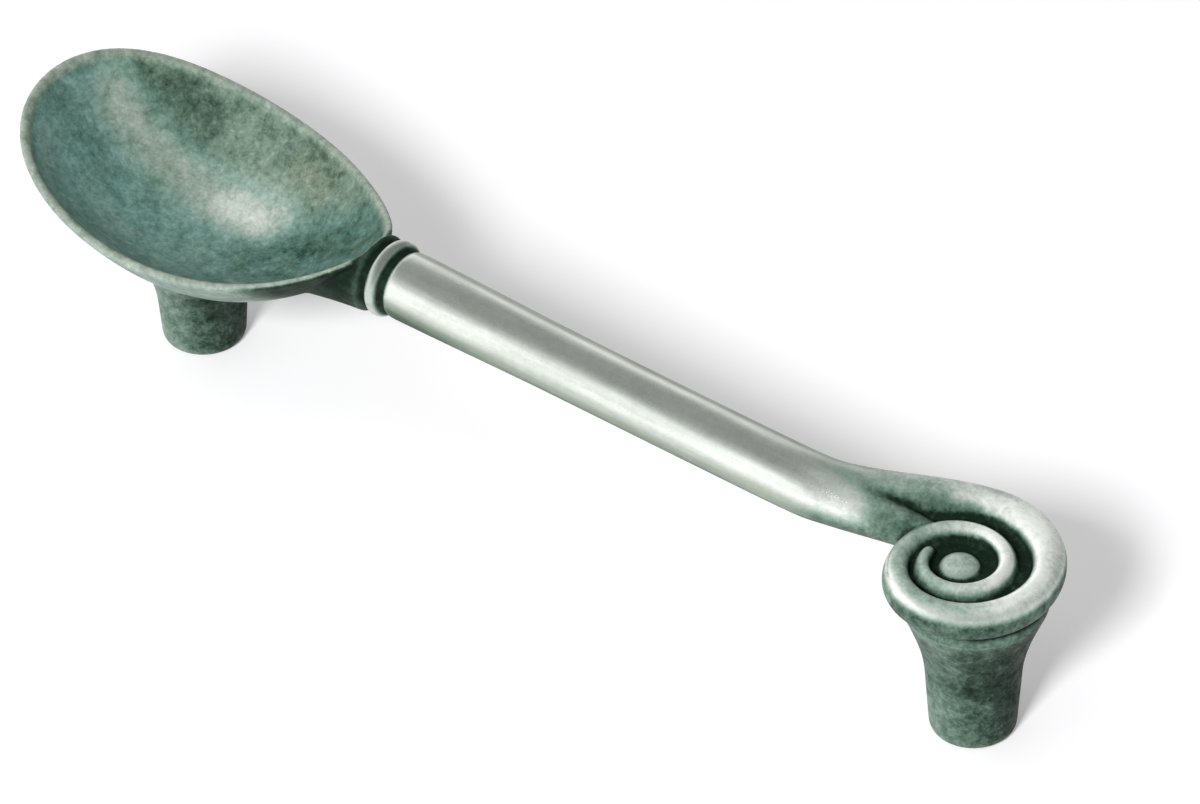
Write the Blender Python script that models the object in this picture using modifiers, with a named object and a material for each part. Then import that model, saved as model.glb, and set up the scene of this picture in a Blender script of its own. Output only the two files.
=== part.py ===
"""Spoon-shaped cabinet handle.

One casting: an oval bowl, a neck, a collar of rings, a round bar, a flat scroll and two posts
that carry it off the door. Each post has one blind screw hole, open at the foot.

Metres. +X runs from the bowl to the scroll and +Z away from the door. The origin is the middle
of the handle's length and width, on the plane of the door.
"""

import math

import bmesh
import bpy
from mathutils import Vector

# Posts and their screw holes
POST_SPACING = 0.096
FOOT_RADIUS = 0.00423
FOOT_ROUNDING = 0.0006
POST_TAPER = 0.0675
HOLE_RADIUS = 0.00165
HOLE_DEPTH = 0.0085
HOLE_CHAMFER = 0.0003

# Right post: it flares into a round capital under the scroll
FLARE_START = 0.0070
FLARE_POWER = 1.9
CAPITAL_RADIUS = 0.0072
CAPITAL_DROP = 0.0016
CAPITAL_ROUNDING = 0.0007
CAPITAL_GROOVE = 0.0005

# Left post: it spreads a little where it meets the underside of the bowl
LEFT_SPREAD_START = 0.0045
LEFT_SPREAD = 0.0019

# Bowl, seen in plan: the tip is the blunt end and the heel the narrow one
BOWL_TIP_REACH = 0.0186
BOWL_LENGTH = 0.0426
BOWL_WIDTH = 0.0281
BOWL_EGG = (1.0, 0.155, -0.056, 0.141)

# Bowl, seen from the side
RIM_DROP = 0.0003
RIM_LOW_REACH = 0.0080
RIM_TIP_RISE = 0.0060
RIM_HEEL_POWER = 2.5
RIM_WIDTH = 0.0014
BOWL_DEPTH = 0.0074
BOWL_WALL = 0.0018
BOWL_DEEP_REACH = 0.0030
BOWL_FULLNESS = 2.3
RING_CROWDING = 0.8

# Bar, neck and collar share one axis
BAR_HEIGHT = 0.0194
BAR_RADIUS = 0.00322
BAR_SHOULDER_RADIUS = 0.0035
BAR_SWELL_LENGTH = 0.022
SHOULDER_ROUNDING = 0.0004
COLLAR_CORE_RADIUS = 0.00315
THIN_RING_RADIUS = 0.0039
THIN_RING_WIDTH = 0.0006
BEAD_RADIUS = 0.00405
BEAD_WIDTH = 0.0014
GROOVE_WIDTH = 0.0007
RING_FULLNESS = 0.6
NECK_HALF_WIDTH = 0.0038
NECK_CROWN = 0.0036
NECK_KEEL = 0.0044
NECK_LENGTH = 0.020
NECK_CROWN_DROP = 0.0090
NECK_KEEL_DROP = 0.0052
NECK_KEEL_CURVE = 1.35
NECK_TAPER = 0.35
NECK_SINK = 0.0003

# Scroll: a band that winds inwards on a floor, around a round button
SCROLL_REACH = 0.0079
SCROLL_RISE = 0.0011
SCROLL_DEPTH = 0.0016
SCROLL_FLOOR_THICKNESS = 0.0017
SCROLL_CENTRE_BACK = 0.0013
SCROLL_CENTRE_SIDE = -0.0006
BAND_HALF_HEIGHT = 0.00175
BAND_HALF_WIDTH = 0.00152
BAND_HALF_WIDTH_END = 0.00072
BAND_LEAN = 0.0003
BAND_SWELL = 0.0006
BAND_SWELL_TURNS = 0.25
BAND_EYE_RADIUS = 0.00217
BAND_TIGHTENING = 0.94
BAND_TURNS = 1.80
BAND_ENTRY = 100.0
BAND_TAIL = 0.03
HEADING_STEP = 0.01
FLOOR_ENTRY = -0.2
BUTTON_RADIUS = 0.0021
BUTTON_HEIGHT = 0.0013

# The bar's bend into the scroll, and the near half that runs under it
BEND_LENGTH = 0.019
UNDER_START = 0.0240
UNDER_END = 0.0062
UNDER_RADIUS = 0.00317
UNDER_SETBACK = 0.0005
UNDER_FULL = 0.25
UNDER_END_RADIUS = 0.0017
UNDER_SHIFT = 0.0018
UNDER_SHIFT_POWER = 1.5
UNDER_DROP = 0.0012
UNDER_DROP_POWER = 2.0

# Facets
BOWL_SIDES = 56
ROD_SIDES = 20
BAND_RINGS = 50
TURNED_SIDES = 32
SMALL_SIDES = 24
SHARP_ANGLE = 50.0
OVERLAP = 0.0012

LENGTH = BOWL_TIP_REACH + POST_SPACING + SCROLL_REACH
LEFT_POST = BOWL_TIP_REACH - LENGTH / 2
RIGHT_POST = LEFT_POST + POST_SPACING
TIP = -LENGTH / 2
HEEL = TIP + BOWL_LENGTH
BOWL_DEEP = LEFT_POST + BOWL_DEEP_REACH
RIM_LOW = LEFT_POST + RIM_LOW_REACH
RIM_HEIGHT = BAR_HEIGHT - RIM_DROP
BOWL_FLOOR = RIM_HEIGHT - BOWL_DEPTH
SCROLL_TOP = BAR_HEIGHT + SCROLL_RISE
SCROLL_FLOOR = SCROLL_TOP - SCROLL_DEPTH
SCROLL_UNDERSIDE = SCROLL_FLOOR - SCROLL_FLOOR_THICKNESS
CAPITAL_HEIGHT = SCROLL_UNDERSIDE - CAPITAL_DROP
NECK_END = HEEL - RIM_WIDTH / 2
BAR_START = NECK_END + THIN_RING_WIDTH + BEAD_WIDTH + 2 * GROOVE_WIDTH
BEND_START = RIGHT_POST - SCROLL_CENTRE_BACK - BEND_LENGTH
SCROLL_CENTRE = Vector((RIGHT_POST - SCROLL_CENTRE_BACK, SCROLL_CENTRE_SIDE, 0.0))


def smooth(amount):
    """Ease from 0 to 1, flat at both ends."""
    amount = min(max(amount, 0.0), 1.0)
    return amount * amount * (3.0 - 2.0 * amount)


def steps(count):
    """Fractions from 0 to 1, both included."""
    return [index / count for index in range(count + 1)]


def around(count):
    """Angles of a full turn."""
    return [2.0 * math.pi * index / count for index in range(count)]


def clear_scene():
    for old in list(bpy.data.objects):
        bpy.data.objects.remove(old, do_unlink=True)


def new_collection(name):
    group = bpy.data.collections.new(name)
    bpy.context.scene.collection.children.link(group)
    return group


def patinated_metal():
    material = bpy.data.materials.new("antique_pewter")
    material.use_nodes = True
    shader = material.node_tree.nodes["Principled BSDF"]
    shader.inputs["Base Color"].default_value = (0.20, 0.27, 0.25, 1.0)
    shader.inputs["Metallic"].default_value = 0.9
    shader.inputs["Roughness"].default_value = 0.38
    return material


def loft(name, rings, group):
    """Closed body through rings of equal count, with each end ring filled."""
    shape = bmesh.new()
    lines = [[shape.verts.new(point) for point in ring] for ring in rings]
    for first, second in zip(lines, lines[1:]):
        if len(first) == 1 or len(second) == 1:
            pole, ring = (first[0], second) if len(first) == 1 else (second[0], first)
            for here, after in zip(ring, ring[1:] + ring[:1]):
                shape.faces.new((pole, here, after))
            continue
        for index, here in enumerate(first):
            after = (index + 1) % len(first)
            shape.faces.new((here, first[after], second[after], second[index]))
    for end in (lines[0], lines[-1]):
        if len(end) > 2:
            shape.faces.new(end)
    bmesh.ops.recalc_face_normals(shape, faces=shape.faces)
    return finish_mesh(name, shape, group)


def finish_mesh(name, shape, group):
    mesh = bpy.data.meshes.new(name)
    shape.to_mesh(mesh)
    shape.free()
    mesh.shade_smooth()
    mesh.set_sharp_from_angle(angle=math.radians(SHARP_ANGLE))
    body = bpy.data.objects.new(name, mesh)
    group.objects.link(body)
    return body


def turned(name, profile, group, sides=TURNED_SIDES):
    """Body of revolution about Z: the profile lists (radius, height) from top to bottom."""
    mesh = bpy.data.meshes.new(name)
    points = [(radius, 0.0, height) for radius, height in profile]
    mesh.from_pydata(points, [(index, index + 1) for index in range(len(points) - 1)], [])
    body = bpy.data.objects.new(name, mesh)
    group.objects.link(body)
    turn = body.modifiers.new("turn", "SCREW")
    turn.axis = "Z"
    turn.steps = sides
    turn.render_steps = sides
    turn.use_merge_vertices = True
    turn.merge_threshold = 0.00001
    return body


def as_guide(body):
    body.hide_render = True
    body.display_type = "WIRE"
    return body


def combine(body, other, operation):
    """Join the other body to this one, or cut it away."""
    as_guide(other)
    change = body.modifiers.new(other.name, "BOOLEAN")
    change.operation = operation
    change.solver = "EXACT"
    change.object = other


def rim_height(x):
    """The rim dips in the middle of the bowl and climbs to the tip and to the neck."""
    if x < RIM_LOW:
        return RIM_HEIGHT + RIM_TIP_RISE * ((x - RIM_LOW) / (TIP - RIM_LOW)) ** 2
    heel_rise = BAR_HEIGHT + NECK_CROWN - RIM_HEIGHT
    return RIM_HEIGHT + heel_rise * ((x - RIM_LOW) / (HEEL - RIM_LOW)) ** RIM_HEEL_POWER


def egg_half_width(angle):
    along = math.cos(angle)
    swell = sum(term * along ** power for power, term in enumerate(BOWL_EGG))
    return swell * math.sin(angle)


EGG_PEAK = max(egg_half_width(angle) for angle in around(360))


def bowl_outline(angle, inset):
    """Point on the bowl's outline in plan: angle 0 is the tip and a half turn is the heel."""
    half_length = BOWL_LENGTH / 2
    x = TIP + half_length - (half_length - inset) * math.cos(angle)
    y = (BOWL_WIDTH / 2 - inset) * egg_half_width(angle) / EGG_PEAK
    return x, y


def bowl_ring(reach, inset, lowest):
    """One ring of a dished surface: reach is 0 at the deepest point and 1 at the rim."""
    if reach == 0.0:
        return [(BOWL_DEEP, 0.0, lowest)]
    ring = []
    for angle in around(BOWL_SIDES):
        edge_x, edge_y = bowl_outline(angle, inset)
        rise = (rim_height(edge_x) - RIM_WIDTH / 2 - lowest) * reach ** BOWL_FULLNESS
        x = BOWL_DEEP + (edge_x - BOWL_DEEP) * reach
        ring.append((x, edge_y * reach, lowest + rise))
    return ring


def lip_ring(turn):
    """One ring of the rounded lip: turn runs from 0 outside to 1 inside."""
    swing = math.pi * turn
    inset = RIM_WIDTH / 2 * (1.0 - math.cos(swing))
    crown = RIM_WIDTH / 2 * (math.sin(swing) - 1.0)
    ring = []
    for angle in around(BOWL_SIDES):
        x, y = bowl_outline(angle, inset)
        ring.append((x, y, rim_height(x) + crown))
    return ring


def make_bowl(group):
    reaches = [fraction ** RING_CROWDING for fraction in steps(9)]
    outside = [bowl_ring(reach, 0.0, BOWL_FLOOR - BOWL_WALL) for reach in reaches]
    lip = [lip_ring(turn) for turn in steps(4)[1:-1]]
    inside = [bowl_ring(reach, RIM_WIDTH, BOWL_FLOOR) for reach in reversed(reaches)]
    return loft("bowl", outside + lip + inside, group)


def make_hollow(group):
    """What is cut from the neck and the left post, so that they end inside the bowl's wall."""
    reaches = [fraction ** RING_CROWDING for fraction in steps(9)]
    lowest = BOWL_FLOOR - BOWL_WALL / 2
    rings = [bowl_ring(reach, RIM_WIDTH / 2, lowest) for reach in reaches]
    sky = RIM_HEIGHT + BOWL_LENGTH
    rings.append([(x, y, sky) for x, y, height in rings[-1]])
    return as_guide(loft("bowl_hollow", rings, group))


def upright_ring(place, heading, half_width, half_height, lean=0.0):
    """Upright oval section across a path seen in plan: its top may lean to the right."""
    across = Vector((-math.sin(heading), math.cos(heading), 0.0))
    upwards = Vector((0.0, 0.0, 1.0))
    ring = []
    for turn in around(ROD_SIDES):
        shift = half_width * math.cos(turn) - lean * math.sin(turn)
        ring.append(place + across * shift + upwards * half_height * math.sin(turn))
    return ring


def make_neck(group):
    """Tapered root that runs from the collar down the keel of the bowl."""
    rings = []
    for fraction in steps(8):
        x = NECK_END + NECK_SINK - NECK_LENGTH * fraction
        crown = BAR_HEIGHT + NECK_CROWN - NECK_CROWN_DROP * fraction
        keel = BAR_HEIGHT - NECK_KEEL - NECK_KEEL_DROP * fraction ** NECK_KEEL_CURVE
        half_width = NECK_HALF_WIDTH * (1.0 - NECK_TAPER * fraction)
        middle = Vector((x, 0.0, (crown + keel) / 2))
        rings.append(upright_ring(middle, 0.0, half_width, (crown - keel) / 2))
    return loft("neck", rings, group)


def make_collar(group):
    """Thin ring, groove, bead and groove on a plain core, turned about the bar's axis."""
    profile = [(0.0, BAR_START + OVERLAP), (COLLAR_CORE_RADIUS, BAR_START + OVERLAP)]
    bead_end = BAR_START - GROOVE_WIDTH
    for fraction in steps(8):
        swing = math.pi * fraction
        radius = COLLAR_CORE_RADIUS + (BEAD_RADIUS - COLLAR_CORE_RADIUS) * math.sin(swing) ** RING_FULLNESS
        profile.append((radius, bead_end - BEAD_WIDTH / 2 * (1.0 - math.cos(swing))))
    ring_end = bead_end - BEAD_WIDTH - GROOVE_WIDTH
    for fraction in steps(4):
        swing = math.pi * fraction
        radius = COLLAR_CORE_RADIUS + (THIN_RING_RADIUS - COLLAR_CORE_RADIUS) * math.sin(swing) ** RING_FULLNESS
        profile.append((radius, ring_end - THIN_RING_WIDTH / 2 * (1.0 - math.cos(swing))))
    profile += [(COLLAR_CORE_RADIUS, NECK_END - 2 * OVERLAP), (0.0, NECK_END - 2 * OVERLAP)]
    collar = turned("collar", profile, group)
    collar.rotation_euler = (0.0, math.pi / 2, 0.0)
    collar.location = (0.0, 0.0, BAR_HEIGHT)
    return collar


def band_half_width(turns):
    swell = BAND_SWELL * (1.0 - smooth(turns / BAND_SWELL_TURNS))
    return BAND_HALF_WIDTH + (BAND_HALF_WIDTH_END - BAND_HALF_WIDTH) * turns / BAND_TURNS + swell


def band_radius(turns):
    """Radius of the band's middle line, so that its edge comes to the scroll's reach."""
    furthest = BAND_ENTRY / 360.0
    reach = SCROLL_REACH + SCROLL_CENTRE_BACK - band_half_width(furthest)
    closing = math.exp(BAND_TIGHTENING * (furthest - turns))
    return BAND_EYE_RADIUS + (reach - BAND_EYE_RADIUS) * closing


def band_point(turns):
    angle = math.radians(BAND_ENTRY) - 2.0 * math.pi * turns
    radius = band_radius(turns)
    return SCROLL_CENTRE + Vector((math.cos(angle), math.sin(angle), 0.0)) * radius


def band_heading(turns):
    ahead = band_point(turns + HEADING_STEP) - band_point(turns - HEADING_STEP)
    return math.atan2(ahead.y, ahead.x)


def make_bar(group):
    """Bar, bend and scroll band in one sweep, from the collar to the scroll's inner end."""
    rings = []
    straight = BEND_START - BAR_START
    swell = BAR_SHOULDER_RADIUS - BAR_RADIUS
    for fraction in steps(3):
        swing = math.pi / 2 * fraction
        x = BAR_START + SHOULDER_ROUNDING * (1.0 - math.cos(swing))
        radius = BAR_SHOULDER_RADIUS - SHOULDER_ROUNDING * (1.0 - math.sin(swing))
        rings.append(upright_ring(Vector((x, 0.0, BAR_HEIGHT)), 0.0, radius, radius))
    for fraction in steps(7)[1:]:
        x = BAR_START + straight * fraction
        radius = BAR_RADIUS + swell * (1.0 - smooth(straight * fraction / BAR_SWELL_LENGTH))
        rings.append(upright_ring(Vector((x, 0.0, BAR_HEIGHT)), 0.0, radius, radius))
    entry = band_point(0.0)
    slope = math.tan(band_heading(0.0))
    band_height = SCROLL_TOP - BAND_HALF_HEIGHT
    run = entry.x - BEND_START
    for fraction in steps(9)[1:]:
        ease = smooth(fraction)
        lean = run * slope * (fraction ** 3 - fraction ** 2)
        place = Vector((BEND_START + run * fraction, entry.y * ease + lean, 0.0))
        place.z = BAR_HEIGHT + (band_height - BAR_HEIGHT) * ease
        rate = 6.0 * fraction * (1.0 - fraction) * entry.y
        rate += run * slope * (3.0 * fraction ** 2 - 2.0 * fraction)
        half_width = BAR_RADIUS + (band_half_width(0.0) - BAR_RADIUS) * ease
        half_height = BAR_RADIUS + (BAND_HALF_HEIGHT - BAR_RADIUS) * ease
        rings.append(upright_ring(place, math.atan2(rate, run), half_width, half_height, BAND_LEAN * ease))
    for fraction in steps(BAND_RINGS)[1:]:
        turns = BAND_TURNS * fraction
        place = band_point(turns)
        place.z = band_height
        past_tail = max(0.0, 1.0 - (1.0 - fraction) / BAND_TAIL)
        scale = math.sqrt(max(BAND_TAIL, 1.0 - past_tail ** 2))
        rings.append(upright_ring(place, band_heading(turns), band_half_width(turns) * scale,
                                  BAND_HALF_HEIGHT * scale, BAND_LEAN))
    return loft("bar", rings, group)


def make_under_half(group):
    """Near half of the bar, which carries on below the scroll's outer turn."""
    rings = []
    first = RIGHT_POST - UNDER_START
    last = RIGHT_POST - UNDER_END
    for fraction in steps(12):
        x = first + (last - first) * fraction
        radius = UNDER_RADIUS - UNDER_SETBACK * (1.0 - smooth(fraction / UNDER_FULL))
        radius += (UNDER_END_RADIUS - UNDER_RADIUS) * smooth((fraction - UNDER_FULL) / (1.0 - UNDER_FULL))
        shift = UNDER_SHIFT * fraction ** UNDER_SHIFT_POWER
        drop = UNDER_DROP * fraction ** UNDER_DROP_POWER
        place = Vector((x, shift, BAR_HEIGHT - drop))
        rings.append(upright_ring(place, 0.0, radius, radius))
    return loft("under_half", rings, group)


def make_scroll_floor(group):
    """Plate below the band: its edge is the band's middle line through one turn."""
    outline = bpy.data.curves.new("scroll_floor", "CURVE")
    outline.dimensions = "2D"
    outline.fill_mode = "BOTH"
    outline.extrude = (SCROLL_FLOOR - SCROLL_UNDERSIDE) / 2
    line = outline.splines.new("POLY")
    places = [band_point(turns + FLOOR_ENTRY) for turns in steps(BAND_RINGS)]
    line.points.add(len(places) - 1)
    for point, place in zip(line.points, places):
        point.co = (place.x, place.y, 0.0, 1.0)
    line.use_cyclic_u = True
    drawing = bpy.data.objects.new("scroll_floor_outline", outline)
    group.objects.link(drawing)
    drawing.location.z = (SCROLL_FLOOR + SCROLL_UNDERSIDE) / 2
    return curve_to_mesh(drawing, "scroll_floor", group)


def curve_to_mesh(drawing, name, group):
    bpy.context.view_layer.update()
    evaluated = drawing.evaluated_get(bpy.context.evaluated_depsgraph_get())
    mesh = bpy.data.meshes.new_from_object(evaluated)
    shape = bmesh.new()
    shape.from_mesh(mesh)
    bmesh.ops.remove_doubles(shape, verts=shape.verts, dist=0.000001)
    bmesh.ops.recalc_face_normals(shape, faces=shape.faces)
    body = finish_mesh(name, shape, group)
    body.matrix_world = drawing.matrix_world.copy()
    bpy.data.objects.remove(drawing, do_unlink=True)
    return body


def make_button(group):
    """Low dome in the eye of the scroll."""
    profile = []
    for fraction in steps(5):
        swing = math.pi / 2 * fraction
        profile.append((BUTTON_RADIUS * math.sin(swing), SCROLL_FLOOR + BUTTON_HEIGHT * math.cos(swing)))
    foot = (SCROLL_FLOOR + SCROLL_UNDERSIDE) / 2
    profile += [(BUTTON_RADIUS, foot), (0.0, foot)]
    button = turned("button", profile, group, sides=SMALL_SIDES)
    button.location = SCROLL_CENTRE
    return button


def foot_profile():
    """Rounded foot of a post, from its side down to its middle."""
    profile = []
    for fraction in steps(3):
        swing = math.pi / 2 * fraction
        radius = FOOT_RADIUS - FOOT_ROUNDING * (1.0 - math.cos(swing))
        profile.append((radius, FOOT_ROUNDING * (1.0 - math.sin(swing))))
    return profile + [(0.0, 0.0)]


def shaft_radius(height):
    return FOOT_RADIUS + POST_TAPER * (height - FOOT_ROUNDING)


def make_right_post(group):
    top = (SCROLL_FLOOR + SCROLL_UNDERSIDE) / 2
    profile = [(0.0, top), (CAPITAL_RADIUS - CAPITAL_GROOVE, top)]
    crown = CAPITAL_HEIGHT + CAPITAL_ROUNDING
    profile.append((CAPITAL_RADIUS - CAPITAL_GROOVE, crown))
    for fraction in steps(3)[1:]:
        swing = math.pi / 2 * fraction
        radius = CAPITAL_RADIUS - CAPITAL_GROOVE * (1.0 - math.sin(swing))
        profile.append((radius, crown - CAPITAL_ROUNDING * (1.0 - math.cos(swing))))
    for fraction in steps(9)[1:]:
        height = CAPITAL_HEIGHT + (FLARE_START - CAPITAL_HEIGHT) * fraction
        shaft = shaft_radius(height)
        spread = (CAPITAL_RADIUS - shaft) * (1.0 - fraction) ** FLARE_POWER
        profile.append((shaft + spread, height))
    post = turned("right_post", profile + foot_profile(), group)
    post.location = (RIGHT_POST, 0.0, 0.0)
    return post


def make_left_post(group):
    top = BOWL_FLOOR + BOWL_WALL
    profile = [(0.0, top), (shaft_radius(BOWL_FLOOR) + LEFT_SPREAD, top)]
    for fraction in steps(6):
        height = BOWL_FLOOR + (LEFT_SPREAD_START - BOWL_FLOOR) * fraction
        spread = LEFT_SPREAD * (1.0 - fraction) ** 2
        profile.append((shaft_radius(height) + spread, height))
    post = turned("left_post", profile + foot_profile(), group)
    post.location = (LEFT_POST, 0.0, 0.0)
    return post


def make_hole(name, x, group):
    """Blind screw hole with a chamfered mouth, reaching past the foot."""
    mouth = HOLE_RADIUS + HOLE_CHAMFER
    profile = [(0.0, HOLE_DEPTH), (HOLE_RADIUS, HOLE_DEPTH - HOLE_RADIUS / 2), (HOLE_RADIUS, HOLE_CHAMFER),
               (mouth, 0.0), (mouth, -OVERLAP), (0.0, -OVERLAP)]
    hole = turned(name, profile, group, sides=SMALL_SIDES)
    hole.location = (x, 0.0, 0.0)
    return hole


def build():
    clear_scene()
    handle_group = new_collection("spoon_handle")
    forms = new_collection("forms")
    handle = make_bowl(handle_group)
    handle.name = "spoon_handle"
    handle.data.name = "spoon_handle"
    handle.data.materials.append(patinated_metal())
    hollow = make_hollow(forms)
    neck = make_neck(forms)
    left_post = make_left_post(forms)
    combine(neck, hollow, "DIFFERENCE")
    combine(left_post, hollow, "DIFFERENCE")
    collar = make_collar(forms)
    combine(collar, hollow, "DIFFERENCE")
    scroll = [make_scroll_floor(forms), make_button(forms), make_right_post(forms)]
    for form in [neck, left_post, collar, make_bar(forms), make_under_half(forms)] + scroll:
        combine(handle, form, "UNION")
    for name, x in (("left_hole", LEFT_POST), ("right_hole", RIGHT_POST)):
        combine(handle, make_hole(name, x, forms), "DIFFERENCE")


build()
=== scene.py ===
"""Spoon-shaped cabinet handle, dressed: one antique pewter casting on a white studio floor."""

import math

import bmesh
import bpy
import numpy as np
from mathutils import Matrix, Vector


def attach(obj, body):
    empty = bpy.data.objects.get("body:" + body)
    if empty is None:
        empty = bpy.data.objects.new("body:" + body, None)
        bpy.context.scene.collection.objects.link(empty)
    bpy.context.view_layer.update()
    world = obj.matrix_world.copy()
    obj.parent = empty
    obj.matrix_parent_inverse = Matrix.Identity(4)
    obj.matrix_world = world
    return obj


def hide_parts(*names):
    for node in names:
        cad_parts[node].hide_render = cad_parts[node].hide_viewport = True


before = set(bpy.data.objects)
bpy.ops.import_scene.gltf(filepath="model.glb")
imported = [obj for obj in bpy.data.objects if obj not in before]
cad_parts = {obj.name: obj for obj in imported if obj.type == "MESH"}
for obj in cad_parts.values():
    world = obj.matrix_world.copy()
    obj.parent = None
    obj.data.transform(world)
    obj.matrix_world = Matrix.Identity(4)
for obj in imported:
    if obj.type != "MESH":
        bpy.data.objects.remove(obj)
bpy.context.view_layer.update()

# Posts and their screw holes
POST_SPACING = 0.096
FOOT_RADIUS = 0.00423
FOOT_ROUNDING = 0.0006
POST_TAPER = 0.0675
HOLE_RADIUS = 0.00165
HOLE_DEPTH = 0.0085
HOLE_CHAMFER = 0.0003
THREAD_RADIUS = 0.0020
THREAD_PITCH = 0.0007

# Right post: it flares into a round capital under the scroll
FLARE_START = 0.0070
FLARE_POWER = 1.9
CAPITAL_RADIUS = 0.0072
CAPITAL_DROP = 0.0016
CAPITAL_ROUNDING = 0.0007
CAPITAL_GROOVE = 0.0005

# Left post: it spreads a little where it meets the underside of the bowl
LEFT_SPREAD_START = 0.0045
LEFT_SPREAD = 0.0019

# Bowl, seen in plan: the tip is the blunt end and the heel the narrow one
BOWL_TIP_REACH = 0.0186
BOWL_LENGTH = 0.0426
BOWL_WIDTH = 0.0281
BOWL_EGG = (1.0, 0.155, -0.056, 0.141)

# Bowl, seen from the side
RIM_DROP = 0.0003
RIM_LOW_REACH = 0.0080
RIM_TIP_RISE = 0.0059
RIM_HEEL_POWER = 2.5
RIM_WIDTH = 0.0011
BOWL_DEPTH = 0.0074
BOWL_WALL = 0.0018
BOWL_DEEP_REACH = 0.0030
BOWL_FULLNESS = 2.3
RING_CROWDING = 0.8

# Bar, neck and collar share one axis
BAR_HEIGHT = 0.0194
BAR_RADIUS = 0.00322
BAR_SHOULDER_RADIUS = 0.0035
BAR_SWELL_LENGTH = 0.022
SHOULDER_ROUNDING = 0.0004
COLLAR_CORE_RADIUS = 0.00315
THIN_RING_RADIUS = 0.0039
THIN_RING_WIDTH = 0.0006
BEAD_RADIUS = 0.00405
BEAD_WIDTH = 0.0014
GROOVE_WIDTH = 0.0007
RING_FULLNESS = 0.6
NECK_HALF_WIDTH = 0.0038
NECK_CROWN = 0.0036
NECK_KEEL = 0.0044
NECK_LENGTH = 0.020
NECK_CROWN_DROP = 0.0090
NECK_KEEL_DROP = 0.0052
NECK_KEEL_CURVE = 1.35
NECK_TAPER = 0.35
NECK_SINK = 0.0003
NECK_BITE = 0.0007

# Scroll: a band that winds inwards on a floor, around a round button
SCROLL_REACH = 0.0079
SCROLL_RISE = 0.0011
SCROLL_DEPTH = 0.0016
SCROLL_FLOOR_THICKNESS = 0.0017
SCROLL_CENTRE_BACK = 0.0013
SCROLL_CENTRE_SIDE = -0.0006
BAND_HALF_HEIGHT = 0.00175
BAND_HALF_WIDTH = 0.00152
BAND_HALF_WIDTH_END = 0.00072
BAND_LEAN = 0.0003
BAND_SWELL = 0.0006
BAND_SWELL_TURNS = 0.25
BAND_EYE_RADIUS = 0.00217
BAND_TIGHTENING = 0.94
BAND_TURNS = 1.80
BAND_ENTRY = 100.0
BAND_TAIL = 0.03
HEADING_STEP = 0.01
FLOOR_ENTRY = -0.2
BUTTON_RADIUS = 0.0021
BUTTON_HEIGHT = 0.0013

# The bar's bend into the scroll, and the near half that runs under it
BEND_LENGTH = 0.019
UNDER_START = 0.0240
UNDER_END = 0.0062
UNDER_RADIUS = 0.00317
UNDER_SETBACK = 0.0005
UNDER_FULL = 0.25
UNDER_EMERGE = 0.55
UNDER_END_RADIUS = 0.0017
UNDER_SHIFT = 0.0018
UNDER_SHIFT_POWER = 1.5
UNDER_DROP = 0.0012
UNDER_DROP_POWER = 2.0

LENGTH = BOWL_TIP_REACH + POST_SPACING + SCROLL_REACH
LEFT_POST = BOWL_TIP_REACH - LENGTH / 2
RIGHT_POST = LEFT_POST + POST_SPACING
TIP = -LENGTH / 2
HEEL = TIP + BOWL_LENGTH
BOWL_DEEP = LEFT_POST + BOWL_DEEP_REACH
RIM_LOW = LEFT_POST + RIM_LOW_REACH
RIM_HEIGHT = BAR_HEIGHT - RIM_DROP
BOWL_FLOOR = RIM_HEIGHT - BOWL_DEPTH
SCROLL_TOP = BAR_HEIGHT + SCROLL_RISE
SCROLL_FLOOR = SCROLL_TOP - SCROLL_DEPTH
SCROLL_UNDERSIDE = SCROLL_FLOOR - SCROLL_FLOOR_THICKNESS
CAPITAL_HEIGHT = SCROLL_UNDERSIDE - CAPITAL_DROP
NECK_END = HEEL - NECK_BITE
BAR_START = NECK_END + THIN_RING_WIDTH + BEAD_WIDTH + 2 * GROOVE_WIDTH
BEND_START = RIGHT_POST - SCROLL_CENTRE_BACK - BEND_LENGTH
SCROLL_CENTRE = Vector((RIGHT_POST - SCROLL_CENTRE_BACK, SCROLL_CENTRE_SIDE, 0.0))

# Fineness of the cast skin
SIDES = 96
HOLE_SIDES = 32
THREAD_STEPS = 60
OVERLAP = 0.0012
VOXEL = 0.00017
FILLET_ROUNDS = 9
SEAM_ROUNDS = 40
POLISH_ROUNDS = 8
SKIN_TRIANGLES = 190000

# Colour of the finish along its tone: (tone, colour), for the teal patina and for the warmer one
TEAL_PATINA = (
    (0.0, (0.006, 0.017, 0.012)), (0.15, (0.021, 0.052, 0.038)), (0.30, (0.068, 0.146, 0.117)),
    (0.45, (0.128, 0.260, 0.229)), (0.60, (0.237, 0.425, 0.385)), (0.78, (0.550, 0.635, 0.590)),
    (1.0, (0.910, 0.920, 0.890)))
OLIVE_PATINA = (
    (0.0, (0.009, 0.017, 0.010)), (0.15, (0.028, 0.049, 0.033)), (0.30, (0.091, 0.137, 0.098)),
    (0.45, (0.210, 0.262, 0.192)), (0.60, (0.365, 0.395, 0.333)), (0.78, (0.570, 0.615, 0.545)),
    (1.0, (0.870, 0.925, 0.855)))

# Studio: (height of the direction, strength) on both sides, then the floor
BRIGHT_SIDE = ((0.0, 1.18), (0.30, 1.16), (0.45, 1.00), (0.60, 0.60), (0.75, 0.34), (1.0, 0.30))
DIM_SIDE = ((0.0, 0.24), (0.20, 0.22), (0.50, 0.18), (1.0, 0.22))
FLOOR_COLOUR = (0.80, 0.792, 0.808, 1.0)
FLOOR_GLOW = 0.26
FLOOR_REACH = 3.0

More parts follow.
